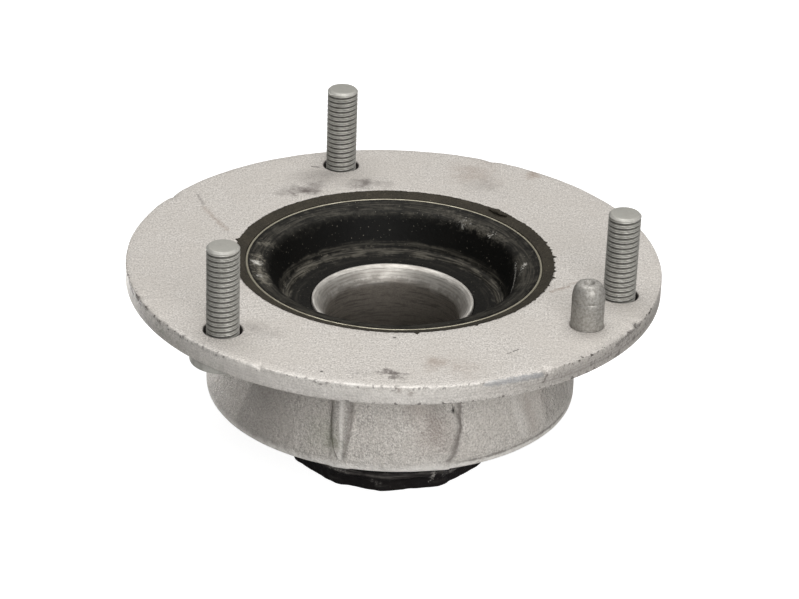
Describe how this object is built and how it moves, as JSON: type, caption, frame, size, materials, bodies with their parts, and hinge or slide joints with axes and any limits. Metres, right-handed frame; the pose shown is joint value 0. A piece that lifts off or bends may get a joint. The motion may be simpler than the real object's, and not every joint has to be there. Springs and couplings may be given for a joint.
{
  "type": "strut mount",
  "caption": "Strut mount: round cast flange with threaded studs and a locating pin, ribbed cup, bonded rubber spring and a ball bearing for the strut rod.",
  "frame": {"origin": "centre of the lower stop's foot, on the plane that the mount stands on", "axes": "+Z along the mount's axis from the foot up to the studs; +X to the right and +Y away in the picture"},
  "size_m": [0.134, 0.134, 0.0745],
  "materials": {
    "cast_aluminium": "rough die casting, dull",
    "zinc_steel": "zinc plated, satin",
    "pin_steel": "dull grey, turned",
    "bright_steel": "bright, rolled",
    "bearing_steel": "ground",
    "cage_steel": "pressed",
    "black_rubber": "moulded, semi-matte with dust",
    "brown_rubber": "moulded, matte",
    "stop_rubber": "moulded, worn"
  },
  "bodies": {
    "mount": {"mount_body": "cast_aluminium", "stud_left": "zinc_steel", "stud_rear": "zinc_steel", "stud_right": "zinc_steel", "locating_pin": "pin_steel", "edge_seal": "brown_rubber", "outer_sleeve": "bright_steel", "rubber_spring": "black_rubber", "bearing_carrier": "bright_steel", "lower_stop": "stop_rubber", "bearing_outer_race": "bearing_steel", "upper_seal": "black_rubber", "lower_seal": "black_rubber", "retaining_ring": "bearing_steel"},
    "inner_race": {"bearing_inner_race": "bearing_steel"},
    "ball_set": {"bearing_cage": "cage_steel", "ball_1": "bearing_steel", "ball_2": "bearing_steel", "ball_3": "bearing_steel", "ball_4": "bearing_steel", "ball_5": "bearing_steel", "ball_6": "bearing_steel", "ball_7": "bearing_steel", "ball_8": "bearing_steel"}
  },
  "joints": [
    {"name": "rod_turn", "type": "hinge", "parent": "mount", "child": "inner_race", "pos_m": [0, 0, 0.0149], "axis": [0, 0, 1], "continuous": true},
    {"name": "ball_orbit", "type": "hinge", "parent": "mount", "child": "ball_set", "pos_m": [0, 0, 0.0149], "axis": [0, 0, 1], "continuous": true}
  ],
  "couplings": [
    {"joint": "ball_orbit", "follows": "rod_turn", "ratio": 0.3818}
  ]
}
